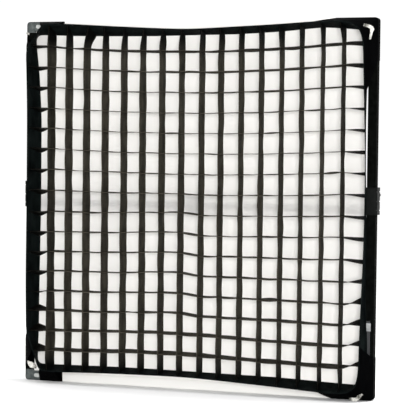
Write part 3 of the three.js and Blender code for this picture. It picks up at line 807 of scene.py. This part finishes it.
def corner_path(offset, radius, leg, straight=16, bend=8):
    """x and z along an L round the top right corner, offset outward from the rails' centre lines."""
    edge = RAIL_LINE + offset
    start = HALF_FRAME - leg
    turn = edge - radius
    run = np.linspace(start, turn, straight, endpoint=False)
    angles = np.linspace(0, math.pi / 2, bend + 1)
    first = np.stack([run, np.full(straight, edge)], 1)
    arc = np.stack([turn + radius * np.sin(angles), turn + radius * np.cos(angles)], 1)
    last = np.stack([np.full(straight, edge), run[::-1]], 1)
    return np.concatenate([first, arc, last])


def resampled(line, count):
    """count points evenly spaced along a line of points."""
    run = run_along(line)
    at = np.linspace(0, run[-1], count)
    return np.stack([np.interp(at, run, line[:, axis]) for axis in range(line.shape[1])], 1)


def ripples(source, rows, columns, waves, size):
    """A soft random height field, [rows, columns], a few waves across, about size high."""
    field = np.zeros((rows, columns))
    i = np.linspace(0, 1, rows)[:, None]
    j = np.linspace(0, 1, columns)[None, :]
    for _ in range(waves):
        down, over = source.uniform(1, 7), source.uniform(0.3, 2.2)
        height = source.uniform(0.3, 1)
        field += height * np.sin(2 * math.pi * (down * i + over * j) + source.uniform(0, 6.28))
    return field * size / math.sqrt(waves)


def wrap_section():
    """The pocket's section round a rail, open at the front: offset and y, from the inner lip round
    to the outer."""
    o = POCKET_OFFSET
    inner = [(-o, y) for y in (-o, -9, -4, 1, 6, o - 3)]
    back = [(-o + 1, o - 0.8), (-o + 4, o), (-5, o), (0, o), (5, o), (o - 4, o), (o - 1, o - 0.8)]
    outer = [(o, y) for y in (o - 3, 6, 1, -4, -9, -o)]
    return inner + back + outer


def rail_wrap(source):
    """The cloth round the elbow and both rails' ends, open at the front and dented at the back."""
    lines = []
    for offset, y in wrap_section():
        inner_round, outer_round = POCKET_ROUND
        share = (offset + POCKET_OFFSET) / (2 * POCKET_OFFSET)
        path = corner_path(offset, inner_round + (outer_round - inner_round) * share, POCKET_LEG)
        lines.append(np.insert(path, 1, y, axis=1))
    wrap = np.stack(lines, 1)
    dents = -np.abs(ripples(source, wrap.shape[0], wrap.shape[1], 5, 0.35))
    wrap[..., 1] += np.where(wrap[..., 1] > POCKET_OFFSET - 1, dents, 0)
    return wrap


def front_flap(upright, windowed, source):
    """The cloth over the front of one rail's end."""
    gap = WINDOW if windowed else FLAP_GAP
    run = np.linspace(HALF_FRAME - POCKET_LEG, HALF_FRAME - gap, 14)
    across = np.linspace(-POCKET_OFFSET, POCKET_OFFSET, 7)
    flap = np.zeros((len(run), len(across), 3))
    flap[..., 2 if upright else 0] = run[:, None]
    flap[..., 0 if upright else 2] = RAIL_LINE + across[None, :]
    flap[..., 1] = -POCKET_OFFSET - 0.5 - np.abs(ripples(source, len(run), len(across), 4, 0.5))
    return flap[::-1] if upright else flap


def drawn_hood(inner_line, source):
    """The hood, [stations, across, xyz]: cloth drawn forward from the pocket's outer side to
    inner_line on the crate's border, sagging and creased between them."""
    outer_line = corner_path(POCKET_OFFSET + 0.2, POCKET_ROUND[1], POCKET_LEG)
    outer_line = resampled(outer_line, HOOD_STATIONS)
    q = np.linspace(0, 1, HOOD_ACROSS)
    hood = np.zeros((HOOD_STATIONS, HOOD_ACROSS, 3))
    hood[..., 0] = outer_line[:, 0, None] * (1 - q) + inner_line[:, 0, None] * q
    hood[..., 2] = outer_line[:, 1, None] * (1 - q) + inner_line[:, 1, None] * q
    root_y = -POCKET_OFFSET - 0.6
    creases = ripples(source, HOOD_STATIONS, HOOD_ACROSS, 7, 1.6)
    hood[..., 1] = root_y + (CRATE_FRONT_Y + HOOD_TIP - root_y) * q + np.sin(np.pi * q) * (creases - 4)
    return hood


def in_corner(points, corner):
    """Moves points made for the top right corner, round the panel's centre, to another corner."""
    side_x, side_z = corner
    turned = points * np.array([side_x, 1, side_z])
    turned[..., 2] += CENTRE_Z
    return turned[::-1] if side_x * side_z < 0 else turned


def corner_cloth(name, border, source):
    """One pocket and its tab: cloth round the elbow and both rails' ends, the front flaps, a hood
    drawn forward to the crate's border, and the strip of white cloth that lies on the hood."""
    corner, windowed, hood_runs, reaches = POCKETS[name]
    sheets = [rail_wrap(source)]
    for upright in (False, True):
        sheets.append(front_flap(upright, windowed, source))
    hood = drawn_hood(border_corner(border, corner, reaches, HOOD_STATIONS), source)
    for begin, end in hood_runs:
        first, last = round(begin * (HOOD_STATIONS - 1)), round(end * (HOOD_STATIONS - 1))
        sheets.append(hood[first:last + 1])
    pocket = Cloth()
    for sheet in sheets:
        pocket.ribbon(in_corner(sheet, corner), [POCKET_WALL] * sheet.shape[1])
    strip = crumpled_strip(hood, TABS[name], source)
    tab = Cloth()
    tab.ribbon(in_corner(strip, corner), [TAB_WALL] * strip.shape[1])
    return pocket, tab


def on_surface(surface, i, j):
    """The points of a surface at rows i and columns j, which may lie between its own."""
    low_i, low_j = i.astype(int), j.astype(int)
    part_i, part_j = (i - low_i)[:, None], (j - low_j)[:, None]
    near = surface[low_i, low_j] * (1 - part_j) + surface[low_i, low_j + 1] * part_j
    far = surface[low_i + 1, low_j] * (1 - part_j) + surface[low_i + 1, low_j + 1] * part_j
    return near * (1 - part_i) + far * part_i


def crumpled_strip(surface, line, source):
    """A narrow strip of cloth that follows line just in front of a surface, with small folds."""
    count, across = 28, 5
    small = 0.01  # so that the widths hardly count in the spacing along the line
    line = resampled(np.array(line, float) * (1, 1, small), count)
    rows, columns = surface.shape[:2]
    i = np.clip(line[:, 0] * (rows - 1), 0, rows - 1.001)
    j = np.clip(line[:, 1] * (columns - 1), 0, columns - 1.001)
    spine = on_surface(surface, i, j)
    along = np.gradient(spine, axis=0)
    side = np.cross(along, (0, 1, 0))
    side /= np.linalg.norm(side, axis=1, keepdims=True)
    width = line[:, 2] / small + source.normal(0, 1.2, count)
    share = np.linspace(-0.5, 0.5, across)
    strip = spine[:, None, :] + side[:, None, :] * (width[:, None] * share)[..., None]
    strip[..., 1] -= 6 + ripples(source, count, across, 7, 2.2)
    return strip


def border_corner(border, corner, reaches, count):
    """The band's front edge round one corner, in that corner's own quadrant, from along the
    level side to down the upright side; reaches are how far from the corner it starts and ends."""
    loop = border.loops[-1] * np.array(corner)
    angle = np.arctan2(loop[:, 0], loop[:, 1])
    order = np.argsort(angle)
    loop = loop[order]
    inside = (loop[:, 0] > HALF_FRAME - reaches[0]) & (loop[:, 1] > HALF_FRAME - reaches[1])
    return resampled(loop[inside], count)


def add_pockets(look, border, white):
    for seed, name in enumerate(POCKETS, start=21):
        cloth, tab = corner_cloth(name, border, np.random.default_rng(seed))
        pocket = cloth.build(f"pocket_{name}", look)
        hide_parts(f"corner_pocket_{name}")
        strip = tab.build(f"tab_{name}", white)


# ---- straps ----
STRAP_WALL = 1.0
STRAP_WAVE = 0.25


def add_straps(look):
    """Webbing down the front of each upright rail, a little wavy towards its ends."""
    for name in ("left", "right"):
        low, high = box_mm(f"tension_strap_{name}")
        z = np.linspace(low[2], high[2], 60)
        x = np.linspace(low[0], high[0], 5)
        free = smooth(np.abs(z - z.mean()) / (z[-1] - z[0]), 0.3, 0.5)
        wave = STRAP_WAVE * free * np.abs(np.sin(z / 6))
        middle = np.zeros((len(z), len(x), 3))
        middle[..., 0] = x[None, :]
        middle[..., 1] = (low[1] + high[1]) / 2 - wave[:, None]
        middle[..., 2] = z[:, None]
        cloth = Cloth()
        cloth.ribbon(middle, [STRAP_WALL] * len(x))
        strap = cloth.build(f"strap_{name}", look)
        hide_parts(f"tension_strap_{name}")


# ---- floor, lights ----
def white_cove():
    """A white backdrop behind the panel, which fades to a dimmer room in front of it, with more
    light the higher up."""
    world = bpy.data.worlds.new("studio")
    world.use_nodes = True
    tree = world.node_tree
    axes = tree.nodes.new("ShaderNodeSeparateXYZ")
    tree.links.new(tree.nodes.new("ShaderNodeTexCoord").outputs["Generated"], axes.inputs[0])
    fade = tree.nodes.new("ShaderNodeMapRange")
    fade.interpolation_type = "SMOOTHSTEP"
    fade.inputs["From Min"].default_value = -0.5
    fade.inputs["From Max"].default_value = 0.4
    fade.inputs["To Min"].default_value = ROOM_LIGHT
    fade.inputs["To Max"].default_value = COVE_LIGHT
    tree.links.new(axes.outputs["Y"], fade.inputs["Value"])
    rise = tree.nodes.new("ShaderNodeMapRange")
    rise.inputs["To Max"].default_value = SKY_LIGHT
    tree.links.new(axes.outputs["Z"], rise.inputs["Value"])
    both = tree.nodes.new("ShaderNodeMath")
    tree.links.new(fade.outputs[0], both.inputs[0])
    tree.links.new(rise.outputs[0], both.inputs[1])
    background = tree.nodes["Background"]
    background.inputs["Color"].default_value = (1, 1, 1, 1)
    tree.links.new(both.outputs[0], background.inputs["Strength"])
    return world


def add_studio():
    scene = bpy.context.scene
    scene.view_settings.view_transform = "Standard"
    scene.world = white_cove()

    mesh = bpy.data.meshes.new("floor")
    reach = 14  # metres
    corners = [(-reach, -reach, 0), (reach, -reach, 0), (reach, reach, 0), (-reach, reach, 0)]
    mesh.from_pydata(corners, [], [(0, 1, 2, 3)])
    floor = bpy.data.objects.new("floor", mesh)
    scene.collection.objects.link(floor)
    paint = Paint("floor_white", (0.93, 0.93, 0.93), 0.9)
    paint.shader.inputs["Specular IOR Level"].default_value = 0.0
    mesh.materials.append(paint.material)

    add_light("key", (3.2, -8.2, 1.3), (0, 0, 0.5), 2.7, 610)
    add_light("fill", (-3.5, -3.8, 2.6), (0, 0, 0.5), 2.4, 50)
    add_light("top", (1.0, 0.15, 3.2), (0, 0, 0.3), 0.9, 70)


def add_light(name, place, aim, size, watts):
    light = bpy.data.lights.new(name, "AREA")
    light.shape = "SQUARE"
    light.size = size
    light.energy = watts
    holder = bpy.data.objects.new(name, light)
    holder.location = place
    holder.rotation_euler = (Vector(aim) - Vector(place)).to_track_quat("-Z", "Y").to_euler()
    bpy.context.scene.collection.objects.link(holder)


# ---- the scene ----
add_camera()
add_studio()

SILK = diffuser_cloth("diffuser_white", 0.45, (0.96, 0.95, 0.93))
SLEEVE = diffuser_cloth("sleeve_white", 0.2, (0.94, 0.93, 0.9))
TAB = crumpled_white()
POCKET = crate_cloth("pocket_black", (0.0004, 0.0004, 0.0005), (0.0012, 0.0013, 0.0015), (), 0.015)
# the slats' cloth carries painted shade towards the crate's border
SLAT = crate_cloth("crate_black", (0.021, 0.0185, 0.014), (0.068, 0.0615, 0.048),
                   (0.0035, 0.0465), 0.04, painted_border_shade=True)
BAND = crate_cloth("band_black", (0.0012, 0.0017, 0.0018), (0.007, 0.0098, 0.0094),
                   (0.0035, 0.0545), 0.02)
WEBBING = webbing()

dress_cad_nodes({
    "tube_black": black_tube(),
    "elbow_slate": cast_slate(),
    "bare_tube": metal("bare_tube", (0.42, 0.43, 0.44), (0.62, 0.63, 0.64), 0.35, (0.04, 1, 1)),
    "button_grey": moulded("button_grey", (0.30, 0.31, 0.30), (0.36, 0.37, 0.36), 0.38, 900),
    "moulded_black": moulded("moulded_black", (0.0016, 0.002, 0.0018), (0.0036, 0.0044, 0.004),
                             0.5, 1100, 0.08),
    "steel": metal("steel", (0.38, 0.385, 0.39), (0.58, 0.59, 0.6), 0.28, (1, 1, 1)),
    "nylon_white": moulded("nylon_white", (0.62, 0.6, 0.53), (0.72, 0.7, 0.63), 0.45, 700),
    "diffuser_white": SILK,
    "crate_black": SLAT,
    "pocket_black": POCKET,
    "webbing_black": WEBBING,
    "slider_grey": moulded("slider_grey", (0.2, 0.205, 0.205), (0.26, 0.265, 0.265), 0.45, 900),
})

BORDER = add_crate(SLAT, BAND)
add_diffuser(SILK, SLEEVE)
add_pockets(POCKET, BORDER, TAB)
add_straps(WEBBING)

bpy.context.view_layer.update()
